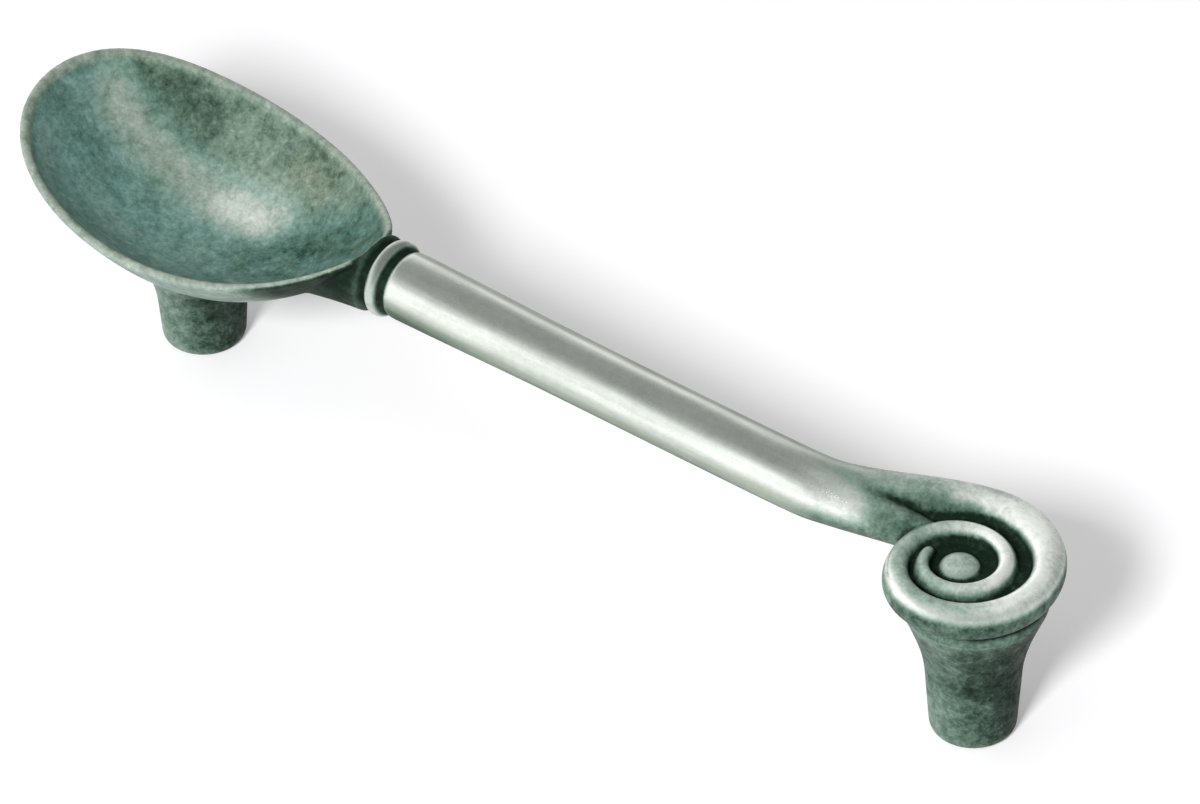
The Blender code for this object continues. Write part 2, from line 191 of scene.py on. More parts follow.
# Camera: the photograph is 1200 by 804 pixels and shows the middle of the feet at FEET_IN_IMAGE
IMAGE_WIDTH = 1200
IMAGE_HEIGHT = 804
FEET_IN_IMAGE = (578.571, 520.682)
PIXELS_PER_METRE = 10228.0
CAMERA_DISTANCE = 0.863709
CAMERA_AZIMUTH = 39.569
CAMERA_ELEVATION = 41.0
CAMERA_ROLL = -1.5
SENSOR_WIDTH = 36.0

# Tones of the finish: 0 is blackened, about 0.5 is the grey-green patina and 1 is bare metal
CAST_TONE = 0.43
BOWL_TONE = 0.45
LIP_TONE = 0.47
NECK_TONE = 0.01
NECK_END_TONE = 0.02
COLLAR_TONE = 0.04
BEAD_TONE = 0.75
THIN_RING_TONE = 0.12
BAR_TONE = 0.94
NEAR_STRAND_TONE = 0.92
NEAR_STRAND_END_TONE = 0.25
NEAR_STRAND_BELOW_TONE = 0.27
FAR_STRAND_TONE = 0.66
FOLD_TONE = 0.62
VALLEY_TONE = 0.22
# Painted light on the scroll's crests, and painted shade where they turn down
CREST_PAINTED_LIGHT = 0.47
CREST_FALL = 0.20
GROOVE_TONE = 0.24
EYE_TONE = 0.03
BUTTON_TONE = 0.58
# Painted highlight on the band's outer shoulder
SHOULDER_TONE = 0.46
SHOULDER_PAINTED_HIGHLIGHT = 0.54
# Painted shade over the patina, on the band's downturned side and under the scroll
BAND_SIDE_TONE = 0.14
UNDER_SCROLL_TONE = 0.10
RIGHT_POST_TONE = 0.17
LEFT_POST_TONE = 0.195
# Painted light and shade on the posts, by the side they face
POST_PAINTED_LIGHT_AND_SHADE = -0.11
RIDGE_TONE = 0.28
RECESS_DARKENING = 0.30
EDGE_LIGHTENING = 0.11
RECESS_SIZE = 0.00005

# Marks in the bowl, drawn in plan: a streak of wear and painted highlight, lines of painted shade, and an
# olive patch of the patina
STREAK_LINE = ((-0.058, 0.0042), (-0.049, 0.0045), (-0.0425, 0.0050), (-0.0385, 0.0054), (-0.034, 0.0072),
               (-0.029, 0.0098))
STREAK_WIDTH = 0.0030
HEEL_SHADE_LINE = ((-0.037, 0.0015), (-0.030, 0.0042), (-0.024, 0.0035))
FAR_SHADE_LINE = ((-0.056, 0.0085), (-0.050, 0.0095))
OLIVE_LINE = ((-0.038, 0.0108), (-0.034, 0.0102))

# The dark valley between the two strands of the bar, as it opens into the scroll's groove
FOLD_LINE = ((0.030, 0.0002), (0.037, 0.0008), (0.040, 0.0011), (0.043, 0.0022))
VALLEY_LINE = ((0.037, 0.0008), (0.040, 0.0011), (0.043, 0.0022), (0.046, 0.0048))


def smooth(amount):
    amount = np.clip(amount, 0.0, 1.0)
    return amount * amount * (3.0 - 2.0 * amount)


def steps(count):
    return [index / count for index in range(count + 1)]


def around(count):
    return [2.0 * math.pi * index / count for index in range(count)]


# Forms: the same as the solid's, in finer steps


def loft(name, rings):
    """Closed body through rings of equal count, with each end ring filled."""
    shape = bmesh.new()
    lines = [[shape.verts.new(point) for point in ring] for ring in rings]
    for first, second in zip(lines, lines[1:]):
        if len(first) == 1 or len(second) == 1:
            pole, ring = (first[0], second) if len(first) == 1 else (second[0], first)
            for here, after in zip(ring, ring[1:] + ring[:1]):
                shape.faces.new((pole, here, after))
            continue
        for index, here in enumerate(first):
            after = (index + 1) % len(first)
            shape.faces.new((here, first[after], second[after], second[index]))
    for end in (lines[0], lines[-1]):
        if len(end) > 2:
            shape.faces.new(end)
    bmesh.ops.recalc_face_normals(shape, faces=shape.faces)
    mesh = bpy.data.meshes.new(name)
    shape.to_mesh(mesh)
    shape.free()
    body = bpy.data.objects.new(name, mesh)
    bpy.context.scene.collection.objects.link(body)
    return body


def turned(name, profile, place, axis="Z"):
    """Body of revolution: the profile lists (radius, height) from one end to the other."""
    rings = []
    for radius, height in profile:
        turns = around(SIDES) if radius > 0.0 else [0.0]
        ring = []
        for turn in turns:
            if axis == "Z":
                ring.append(place + Vector((radius * math.cos(turn), radius * math.sin(turn), height)))
            else:
                ring.append(place + Vector((height, radius * math.cos(turn), radius * math.sin(turn))))
        rings.append(ring)
    return loft(name, rings)


def cut(body, other):
    """Cut the other body away from this one, and drop it."""
    change = body.modifiers.new("cut", "BOOLEAN")
    change.operation = "DIFFERENCE"
    change.solver = "EXACT"
    change.object = other
    settle(body)
    bpy.data.objects.remove(other, do_unlink=True)


def settle(body):
    """Replace the body's mesh by what its modifiers give."""
    bpy.context.view_layer.update()
    graph = bpy.context.evaluated_depsgraph_get()
    mesh = bpy.data.meshes.new_from_object(body.evaluated_get(graph), depsgraph=graph)
    body.modifiers.clear()
    body.data = mesh


def rim_height(x):
    if x < RIM_LOW:
        return RIM_HEIGHT + RIM_TIP_RISE * ((x - RIM_LOW) / (TIP - RIM_LOW)) ** 2
    heel_rise = BAR_HEIGHT + NECK_CROWN - RIM_HEIGHT
    return RIM_HEIGHT + heel_rise * ((x - RIM_LOW) / (HEEL - RIM_LOW)) ** RIM_HEEL_POWER


def egg_half_width(angle):
    along = math.cos(angle)
    swell = sum(term * along ** power for power, term in enumerate(BOWL_EGG))
    return swell * math.sin(angle)


EGG_PEAK = max(egg_half_width(angle) for angle in around(360))


def bowl_outline(angle, inset):
    half_length = BOWL_LENGTH / 2
    x = TIP + half_length - (half_length - inset) * math.cos(angle)
    y = (BOWL_WIDTH / 2 - inset) * egg_half_width(angle) / EGG_PEAK
    return x, y


def bowl_ring(reach, inset, lowest):
    if reach == 0.0:
        return [(BOWL_DEEP, 0.0, lowest)]
    ring = []
    for angle in around(2 * SIDES):
        edge_x, edge_y = bowl_outline(angle, inset)
        rise = (rim_height(edge_x) - RIM_WIDTH / 2 - lowest) * reach ** BOWL_FULLNESS
        x = BOWL_DEEP + (edge_x - BOWL_DEEP) * reach
        ring.append((x, edge_y * reach, lowest + rise))
    return ring


def lip_ring(turn):
    swing = math.pi * turn
    inset = RIM_WIDTH / 2 * (1.0 - math.cos(swing))
    crown = RIM_WIDTH / 2 * (math.sin(swing) - 1.0)
    ring = []
    for angle in around(2 * SIDES):
        x, y = bowl_outline(angle, inset)
        ring.append((x, y, rim_height(x) + crown))
    return ring


def make_bowl():
    reaches = [fraction ** RING_CROWDING for fraction in steps(40)]
    outside = [bowl_ring(reach, 0.0, BOWL_FLOOR - BOWL_WALL) for reach in reaches]
    lip = [lip_ring(turn) for turn in steps(10)[1:-1]]
    inside = [bowl_ring(reach, RIM_WIDTH, BOWL_FLOOR) for reach in reversed(reaches)]
    return loft("bowl", outside + lip + inside)


def make_hollow():
    reaches = [fraction ** RING_CROWDING for fraction in steps(40)]
    lowest = BOWL_FLOOR - BOWL_WALL / 2
    rings = [bowl_ring(reach, RIM_WIDTH / 2, lowest) for reach in reaches]
    rings.append([(x, y, RIM_HEIGHT + BOWL_LENGTH) for x, y, height in rings[-1]])
    return loft("hollow", rings)


def upright_ring(place, heading, half_width, half_height, lean=0.0):
    across = Vector((-math.sin(heading), math.cos(heading), 0.0))
    upwards = Vector((0.0, 0.0, 1.0))
    ring = []
    for turn in around(SIDES):
        shift = half_width * math.cos(turn) - lean * math.sin(turn)
        ring.append(place + across * shift + upwards * half_height * math.sin(turn))
    return ring


def make_neck():
    rings = []
    for fraction in steps(40):
        x = NECK_END + NECK_SINK - NECK_LENGTH * fraction
        crown = BAR_HEIGHT + NECK_CROWN - NECK_CROWN_DROP * fraction
        keel = BAR_HEIGHT - NECK_KEEL - NECK_KEEL_DROP * fraction ** NECK_KEEL_CURVE
        half_width = NECK_HALF_WIDTH * (1.0 - NECK_TAPER * fraction)
        middle = Vector((x, 0.0, (crown + keel) / 2))
        rings.append(upright_ring(middle, 0.0, half_width, (crown - keel) / 2))
    return loft("neck", rings)


def make_collar():
    profile = [(0.0, BAR_START + OVERLAP), (COLLAR_CORE_RADIUS, BAR_START + OVERLAP)]
    bead_end = BAR_START - GROOVE_WIDTH
    ring_end = bead_end - BEAD_WIDTH - GROOVE_WIDTH
    collar_rings = ((bead_end, BEAD_WIDTH, BEAD_RADIUS), (ring_end, THIN_RING_WIDTH, THIN_RING_RADIUS))
    for end, width, top in collar_rings:
        for fraction in steps(16):
            swing = math.pi * fraction
            swell = max(0.0, math.sin(swing)) ** RING_FULLNESS
            radius = COLLAR_CORE_RADIUS + (top - COLLAR_CORE_RADIUS) * swell
            profile.append((radius, end - width / 2 * (1.0 - math.cos(swing))))
    profile += [(COLLAR_CORE_RADIUS, NECK_END - 2 * OVERLAP), (0.0, NECK_END - 2 * OVERLAP)]
    return turned("collar", profile, Vector((0.0, 0.0, BAR_HEIGHT)), axis="X")


def band_half_width(turns):
    swell = BAND_SWELL * (1.0 - smooth(turns / BAND_SWELL_TURNS))
    return BAND_HALF_WIDTH + (BAND_HALF_WIDTH_END - BAND_HALF_WIDTH) * turns / BAND_TURNS + swell


def band_radius(turns):
    furthest = BAND_ENTRY / 360.0
    reach = SCROLL_REACH + SCROLL_CENTRE_BACK - band_half_width(furthest)
    closing = np.exp(BAND_TIGHTENING * (furthest - turns))
    return BAND_EYE_RADIUS + (reach - BAND_EYE_RADIUS) * closing


def band_point(turns):
    angle = math.radians(BAND_ENTRY) - 2.0 * math.pi * turns
    radius = band_radius(turns)
    return SCROLL_CENTRE + Vector((math.cos(angle), math.sin(angle), 0.0)) * radius


def band_heading(turns):
    ahead = band_point(turns + HEADING_STEP) - band_point(turns - HEADING_STEP)
    return math.atan2(ahead.y, ahead.x)


def make_bar():
    rings = []
    straight = BEND_START - BAR_START
    swell = BAR_SHOULDER_RADIUS - BAR_RADIUS
    for fraction in steps(8):
        swing = math.pi / 2 * fraction
        x = BAR_START + SHOULDER_ROUNDING * (1.0 - math.cos(swing))
        radius = BAR_SHOULDER_RADIUS - SHOULDER_ROUNDING * (1.0 - math.sin(swing))
        rings.append(upright_ring(Vector((x, 0.0, BAR_HEIGHT)), 0.0, radius, radius))
    for fraction in steps(30)[1:]:
        x = BAR_START + straight * fraction
        radius = BAR_RADIUS + swell * (1.0 - smooth(straight * fraction / BAR_SWELL_LENGTH))
        rings.append(upright_ring(Vector((x, 0.0, BAR_HEIGHT)), 0.0, radius, radius))
    entry = band_point(0.0)
    slope = math.tan(band_heading(0.0))
    band_height = SCROLL_TOP - BAND_HALF_HEIGHT
    run = entry.x - BEND_START
    for fraction in steps(40)[1:]:
        ease = smooth(fraction)
        lean = run * slope * (fraction ** 3 - fraction ** 2)
        place = Vector((BEND_START + run * fraction, entry.y * ease + lean, 0.0))
        place.z = BAR_HEIGHT + (band_height - BAR_HEIGHT) * ease
        rate = 6.0 * fraction * (1.0 - fraction) * entry.y
        rate += run * slope * (3.0 * fraction ** 2 - 2.0 * fraction)
        half_width = BAR_RADIUS + (band_half_width(0.0) - BAR_RADIUS) * ease
        half_height = BAR_RADIUS + (BAND_HALF_HEIGHT - BAR_RADIUS) * ease
        rings.append(upright_ring(place, math.atan2(rate, run), half_width, half_height, BAND_LEAN * ease))
    for fraction in steps(220)[1:]:
        turns = BAND_TURNS * fraction
        place = band_point(turns)
        place.z = band_height
        past_tail = max(0.0, 1.0 - (1.0 - fraction) / BAND_TAIL)
        scale = math.sqrt(max(BAND_TAIL, 1.0 - past_tail ** 2))
        rings.append(upright_ring(place, band_heading(turns), band_half_width(turns) * scale,
                                  BAND_HALF_HEIGHT * scale, BAND_LEAN))
    return loft("bar", rings)


def make_under_half():
    rings = []
    first = RIGHT_POST - UNDER_START
    last = RIGHT_POST - UNDER_END
    for fraction in steps(40):
        x = first + (last - first) * fraction
        radius = UNDER_RADIUS - UNDER_SETBACK * (1.0 - smooth(fraction / UNDER_EMERGE))
        radius += (UNDER_END_RADIUS - UNDER_RADIUS) * smooth((fraction - UNDER_FULL) / (1.0 - UNDER_FULL))
        shift = UNDER_SHIFT * fraction ** UNDER_SHIFT_POWER
        drop = UNDER_DROP * fraction ** UNDER_DROP_POWER
        place = Vector((x, shift, BAR_HEIGHT - drop))
        rings.append(upright_ring(place, 0.0, radius, radius))
    return loft("under_half", rings)


def make_scroll_floor():
    places = [band_point(turns + FLOOR_ENTRY) for turns in steps(120)]
    rings = []
    for height in (SCROLL_UNDERSIDE, SCROLL_FLOOR):
        rings.append([Vector((place.x, place.y, height)) for place in places])
    return loft("scroll_floor", rings)


def make_button():
    profile = []
    for fraction in steps(16):
        swing = math.pi / 2 * fraction
        profile.append((BUTTON_RADIUS * math.sin(swing), SCROLL_FLOOR + BUTTON_HEIGHT * math.cos(swing)))
    foot = (SCROLL_FLOOR + SCROLL_UNDERSIDE) / 2
    profile += [(BUTTON_RADIUS, foot), (0.0, foot)]
    return turned("button", profile, SCROLL_CENTRE)


def foot_profile():
    profile = []
    for fraction in steps(8):
        swing = math.pi / 2 * fraction
        radius = FOOT_RADIUS - FOOT_ROUNDING * (1.0 - math.cos(swing))
        profile.append((radius, FOOT_ROUNDING * (1.0 - math.sin(swing))))
    return profile + [(0.0, 0.0)]


def shaft_radius(height):
    return FOOT_RADIUS + POST_TAPER * (height - FOOT_ROUNDING)


def make_right_post():
    top = (SCROLL_FLOOR + SCROLL_UNDERSIDE) / 2
    crown = CAPITAL_HEIGHT + CAPITAL_ROUNDING
    profile = [(0.0, top), (CAPITAL_RADIUS - CAPITAL_GROOVE, top), (CAPITAL_RADIUS - CAPITAL_GROOVE, crown)]
    for fraction in steps(8)[1:]:
        swing = math.pi / 2 * fraction
        radius = CAPITAL_RADIUS - CAPITAL_GROOVE * (1.0 - math.sin(swing))
        profile.append((radius, crown - CAPITAL_ROUNDING * (1.0 - math.cos(swing))))
    for fraction in steps(30)[1:]:
        height = CAPITAL_HEIGHT + (FLARE_START - CAPITAL_HEIGHT) * fraction
        shaft = shaft_radius(height)
        spread = (CAPITAL_RADIUS - shaft) * (1.0 - fraction) ** FLARE_POWER
        profile.append((shaft + spread, height))
    return turned("right_post", profile + foot_profile(), Vector((RIGHT_POST, 0.0, 0.0)))


def make_left_post():
    top = BOWL_FLOOR + BOWL_WALL
    profile = [(0.0, top), (shaft_radius(BOWL_FLOOR) + LEFT_SPREAD, top)]
    for fraction in steps(24):
        height = BOWL_FLOOR + (LEFT_SPREAD_START - BOWL_FLOOR) * fraction
        profile.append((shaft_radius(height) + LEFT_SPREAD * (1.0 - fraction) ** 2, height))
    return turned("left_post", profile + foot_profile(), Vector((LEFT_POST, 0.0, 0.0)))


def make_screw_holes():
    """Both blind holes in one cutter: a chamfered mouth and a fine thread on the wall."""
    holes = []
    mouth = THREAD_RADIUS + HOLE_CHAMFER
    thread_start = HOLE_CHAMFER * 2
    thread_end = HOLE_DEPTH - HOLE_RADIUS / 2
    heights = [-OVERLAP, 0.0]
    heights += [thread_start + (thread_end - thread_start) * fraction for fraction in steps(THREAD_STEPS)]
    for x in (LEFT_POST, RIGHT_POST):
        rings = [[Vector((x, 0.0, -OVERLAP))]]
        for height in heights:
            ring = []
            for turn in around(HOLE_SIDES):
                phase = (height / THREAD_PITCH - turn / (2.0 * math.pi)) % 1.0
                radius = HOLE_RADIUS + (THREAD_RADIUS - HOLE_RADIUS) * (1.0 - abs(2.0 * phase - 1.0))
                if height <= 0.0:
                    radius = mouth
                ring.append(Vector((x + radius * math.cos(turn), radius * math.sin(turn), height)))
            rings.append(ring)
        rings.append([Vector((x, 0.0, HOLE_DEPTH))])
        holes.append(loft("screw_hole", rings))
    return join(holes, "screw_holes")


def join(bodies, name):
    """One object from several bodies, which are dropped."""
    shape = bmesh.new()
    for body in bodies:
        shape.from_mesh(body.data)
    mesh = bpy.data.meshes.new(name)
    shape.to_mesh(mesh)
    shape.free()
    for body in bodies:
        bpy.data.objects.remove(body, do_unlink=True)
    whole = bpy.data.objects.new(name, mesh)
    bpy.context.scene.collection.objects.link(whole)
    return whole


# The skin: one cast surface with small fillets where forms meet


class Skin:
    """Numbers of a mesh: places, edges, and smoothing over its edges."""

    def __init__(self, mesh):
        self.mesh = mesh
        count = len(mesh.vertices)
        places = np.empty(count * 3)
        mesh.vertices.foreach_get("co", places)
        self.places = places.reshape(-1, 3)
        ends = np.empty(len(mesh.edges) * 2, int)
        mesh.edges.foreach_get("vertices", ends)
        pairs = ends.reshape(-1, 2)
        self.here = np.concatenate((pairs[:, 0], pairs[:, 1]))
        self.there = np.concatenate((pairs[:, 1], pairs[:, 0]))
        self.valence = np.maximum(np.bincount(self.here, minlength=count), 1)

    def neighbours(self, values):
        count = len(self.valence)
        if values.ndim == 1:
            return np.bincount(self.here, values[self.there], count) / self.valence
        return np.stack([self.neighbours(column) for column in values.T], axis=1)

    def spread(self, values, rounds):
        """Even the values out: each round takes them half the way to their neighbours' mean."""
        for _ in range(rounds):
            values = values + 0.5 * (self.neighbours(values) - values)
        return values

    def normals(self):
        normals = np.empty(len(self.places) * 3)
        self.mesh.vertices.foreach_get("normal", normals)
        return normals.reshape(-1, 3)

    def move(self, places):
        self.places = places
        self.mesh.vertices.foreach_set("co", places.ravel())
        self.mesh.update()

    def write(self, name, values):
        layer = self.mesh.attributes.new(name, "FLOAT", "POINT")
        layer.data.foreach_set("value", values.astype(np.float32))


def cast_skin():
    """Fuse all forms into one skin, soften its seams, and drill the screw holes."""
    hollow = make_hollow()
    trimmed = [make_neck(), make_left_post(), make_collar()]
    for body in trimmed:
        cut(body, copy_of(hollow))
    bpy.data.objects.remove(hollow, do_unlink=True)
    forms = trimmed + [make_bowl(), make_bar(), make_under_half(), make_scroll_floor(), make_button(),
                       make_right_post()]
    skin = join(forms, "handle_casting")
    fuse = skin.modifiers.new("fuse", "REMESH")
    fuse.mode = "VOXEL"
    fuse.voxel_size = VOXEL
    settle(skin)
    numbers = Skin(skin.data)
    numbers.move(numbers.spread(numbers.places, FILLET_ROUNDS))
    reduce_to(skin, SKIN_TRIANGLES)
    numbers = Skin(skin.data)
    relax(numbers, BEND_START - 0.0030, BEND_START + 0.0060, SEAM_ROUNDS)
    relax(numbers, BAR_START + 0.0015, BEND_START + 0.0080, POLISH_ROUNDS)
    cut(skin, make_screw_holes())
    return skin


def relax(numbers, start, end, rounds):
    """Smooth the skin between two places along the bar, and blend out over 3 mm."""
    places = numbers.places
    along = places[:, 0]
    share = rise(along, start, 0.0015) * fall(along, end, 0.0030)
    numbers.move(places + (numbers.spread(places, rounds) - places) * share[:, None])


def copy_of(body):
    twin = bpy.data.objects.new(body.name + "_twin", body.data.copy())
    bpy.context.scene.collection.objects.link(twin)
    return twin


def reduce_to(body, triangles):
    body.data.calc_loop_triangles()
    have = len(body.data.loop_triangles)
    if have > triangles:
        thin = body.modifiers.new("thin", "DECIMATE")
        thin.ratio = triangles / have
        settle(body)


def rise(value, start, length):
    """0 up to the start, and 1 from the start plus the length on."""
    return smooth((value - start) / length)


def fall(value, start, length):
    """1 up to the start, and 0 from the start plus the length on."""
    return 1.0 - rise(value, start, length)


def near_line(places, points, width):
    """1 on a broken line drawn in plan and 0 away from it."""
    closest = np.full(len(places), 1.0e9)
    for first, second in zip(points, points[1:]):
        start, run = np.array(first), np.array(second) - np.array(first)
        along = np.clip((places[:, :2] - start) @ run / (run @ run), 0.0, 1.0)
        closest = np.minimum(closest, np.linalg.norm(places[:, :2] - start - along[:, None] * run, axis=1))
    return np.exp(-(closest / width) ** 2)


def wall_height(x, y):
    """Height of the middle of the bowl's wall, and sky-high outside the bowl's outline."""
    edge = np.array([bowl_outline(turn, RIM_WIDTH / 2) for turn in around(720)])
    out_x = edge[:, 0] - BOWL_DEEP
    order = np.argsort(np.arctan2(edge[:, 1], out_x))
    bearings = np.arctan2(edge[:, 1], out_x)[order]
    bearing = np.arctan2(y, x - BOWL_DEEP)
    far = np.interp(bearing, bearings, np.hypot(out_x, edge[:, 1])[order], period=2.0 * math.pi)
    edge_height = np.array([rim_height(place) for place in edge[:, 0]])[order] - RIM_WIDTH / 2
    height = np.interp(bearing, bearings, edge_height, period=2.0 * math.pi)
    reach = np.hypot(x - BOWL_DEEP, y) / far
    lowest = BOWL_FLOOR - BOWL_WALL / 2
    return np.where(reach < 1.0, lowest + (height - lowest) * reach ** BOWL_FULLNESS, 1.0)


class Patina:
    """Tone of the finish at every vertex, with painted light and shade, worked out from the shape of the skin.
    """

    def __init__(self, skin):
        self.numbers = Skin(skin.data)
        self.normals = self.numbers.normals()
        self.x, self.y, self.z = self.numbers.places.T
        self.tone = np.full(len(self.x), CAST_TONE)
        self.inside = rise(self.z - wall_height(self.x, self.y), -0.0002, 0.0003)

    def toward(self, mask, value):
        """Move the tone to a value where the mask says so."""
        self.tone = self.tone + (value - self.tone) * mask

    def near(self, points, width):
        return near_line(self.numbers.places, points, width)

    def paint_bowl(self):
        """Teal grey, with a streak along the far side that is partly wear and partly painted highlight,
        painted shade around it, the near half painted lighter, and a worn lip.
        """
        x, y, inside = self.x, self.y, self.inside
        self.toward(inside, BOWL_TONE)
        # Painted light: the near half of the inside, which faces away from the key lamp, is painted lighter
        self.tone += inside * (0.06 * rise(-y, -0.0030, 0.0040) + 0.13 * rise(-y, 0.0005, 0.0060))
        # The streak along the far side is partly wear and partly painted highlight, brightest in its middle
        self.streak = self.near(STREAK_LINE, STREAK_WIDTH) * rise(x, TIP + 0.0005, 0.0045)
        self.streak *= 1.0 - 0.6 * rise(x, -0.0390, 0.0050)
        bright = self.near(STREAK_LINE[2:4], STREAK_WIDTH)
        self.tone += inside * (0.19 * self.streak + 0.25 * bright)
        # Painted shade along the heel and far shade lines and towards the heel; at the tip, a little lighter
        # on the far side and painted shade on the near side
        self.tone -= inside * 0.06 * self.near(HEEL_SHADE_LINE, 0.0022)
        self.tone -= inside * 0.05 * rise(x, -0.0420, 0.0060)
        self.tone -= inside * 0.16 * self.near(FAR_SHADE_LINE, 0.0024)
        self.tone += inside * 0.05 * fall(x, TIP + 0.002, 0.008) * rise(y, -0.0005, 0.0025)
        self.tone -= inside * 0.07 * fall(x, TIP + 0.002, 0.010) * fall(y, -0.0015, 0.0030)
        tip_rise = RIM_TIP_RISE * ((x - RIM_LOW) / (TIP - RIM_LOW)) ** 2
        heelwards = np.maximum(x - RIM_LOW, 0.0) / (HEEL - RIM_LOW)
        heel_rise = (BAR_HEIGHT + NECK_CROWN - RIM_HEIGHT) * heelwards ** RIM_HEEL_POWER
        self.rim = RIM_HEIGHT + np.where(x < RIM_LOW, tip_rise, heel_rise)
        self.lip = (x < HEEL) * rise(self.z - self.rim, -0.0009, 0.0007)
        self.toward(self.lip, LIP_TONE)

    def paint_neck_and_collar(self):
        """Blackened, with a bright bead and a dark thin ring on the collar."""
        x = self.x
        outside = 1.0 - self.inside
        flank = (x > HEEL - NECK_LENGTH) * (self.z < self.rim - 0.0003) * outside
        flank = flank * rise(x, HEEL - 0.0115, 0.0045) * (x < BAR_START)
        self.toward(flank, NECK_TONE)
        self.toward(rise(x, HEEL - 0.0019, 0.0008) * (x < BAR_START) * outside, NECK_END_TONE)
        collar = (x > NECK_END - 0.0002) * (x < BAR_START + 0.0002)
        reach = np.hypot(self.y, self.z - BAR_HEIGHT)
        self.toward(collar, COLLAR_TONE)
        bead_middle = BAR_START - GROOVE_WIDTH - BEAD_WIDTH / 2
        self.bead = collar * (np.abs(x - bead_middle) < BEAD_WIDTH * 0.6) * rise(reach, 0.0034, 0.0005)
        self.toward(self.bead, BEAD_TONE)
        thin_ring = collar * (x < NECK_END + THIN_RING_WIDTH * 1.1) * rise(reach, 0.0034, 0.0004)
        self.toward(thin_ring, THIN_RING_TONE)
        self.blackened = np.maximum(collar * (1.0 - self.bead), flank)

    def paint_bar(self):
        """Worn bright, with painted shade below, along its far edge and near the collar."""
        x = self.x
        across, upward = self.normals[:, 1], self.normals[:, 2]
        on_bar = rise(x, BAR_START + 0.0001, 0.0005)
        self.polish = on_bar * fall(x, BEND_START - 0.002, 0.014)
        # Painted shade: the bar is darker on its underside, more so near the collar, and along its upper far
        # edge
        shade = (0.39 + 0.30 * fall(x, BAR_START, 0.014)) * rise(-upward, -0.34, 0.60)
        shade *= 1.0 - 0.4 * rise(across, -0.2, 0.6)
        shade += 0.30 * rise(-upward, 0.20, 0.50)
        shade += 0.33 * rise(across, 0.20, 0.25) * rise(upward, 0.35, 0.25)
        self.bar_shade = shade
        self.toward(on_bar * (x < RIGHT_POST - 0.004), BAR_TONE - shade)

    def paint_bend_and_scroll(self):
        """Worn crests painted lighter towards the back right, a painted highlight on the front left of the
        band's shoulder, painted shade on its downturned side and under the scroll, dark grooves, black around
        the button, and the two strands of the bend.
        """
        x, y, z = self.x, self.y, self.z
        upward = self.normals[:, 2]
        out_x, out_y = x - SCROLL_CENTRE.x, y - SCROLL_CENTRE.y
        # Painted light and shade: the crests are lighter towards the back right and darker where they turn
        # down
        crest = CAST_TONE + CREST_PAINTED_LIGHT * rise(out_x + out_y, -0.005, 0.012)
        crest -= CREST_FALL * rise(-upward, -0.60, 0.5)
        self.toward(rise(x, BEND_START, 0.012) * (z > CAPITAL_HEIGHT + 0.0002), crest)

        # The band's middle line: its radius in the outer and the inner turn, and its path along the bend
        reach = np.hypot(out_x, out_y)
        angle = np.degrees(np.arctan2(out_y, out_x))
        turns = ((BAND_ENTRY - angle) / 360.0) % 1.0
        first, second = band_radius(turns), band_radius(np.minimum(turns + 1.0, BAND_TURNS))
        entry = band_point(0.0)
        run = entry.x - BEND_START
        part = np.clip((x - BEND_START) / run, 0.0, 1.0)
        path = entry.y * smooth(part) + run * math.tan(band_heading(0.0)) * (part ** 3 - part ** 2)

        # Scroll
        depth = SCROLL_TOP - z
        above_post = z > CAPITAL_HEIGHT
        sunk = rise(depth, 0.00035, 0.0007) * (depth < SCROLL_DEPTH + 0.0004)
        behind = (x < entry.x + 0.0004) * (x > SCROLL_CENTRE.x - 0.0110) * (y > 0.0)
        behind = behind * rise(path - y, 0.0006, 0.0006)
        self.toward(sunk * np.maximum((reach < first) * (reach > 0.0012), behind), GROOVE_TONE)
        self.toward(sunk * (reach < second - 0.0001) * rise(reach, BUTTON_RADIUS * 0.55, 0.0006), EYE_TONE)
        self.toward((reach < BUTTON_RADIUS * 0.9) * (depth < SCROLL_DEPTH - 0.0002), BUTTON_TONE)
        side = (reach > first) * (reach < 0.0125) * above_post
        # Painted highlight on the band's outer shoulder, strongest on the front left
        shoulder = side * np.exp(-((upward - 0.60) / 0.20) ** 2)
        front_left_highlight = (0.5 + 0.5 * np.cos(np.radians(angle + 117.0))) ** 1.5
        self.toward(shoulder * np.maximum(front_left_highlight, 0.5), SHOULDER_TONE + SHOULDER_PAINTED_HIGHLIGHT * front_left_highlight)
        # Painted shade over the patina: the band's side is darker where it turns down, and the underside of
        # the scroll darker down to the capital
        self.toward(side * rise(-upward, -0.50, 0.30), BAND_SIDE_TONE)
        self.toward((reach < 0.0105) * above_post * rise(depth, 0.0028, 0.0006), UNDER_SCROLL_TONE)
        self.painted_shoulder_highlight = shoulder * front_left_highlight
        self.sunk_eye = sunk * (reach < second)

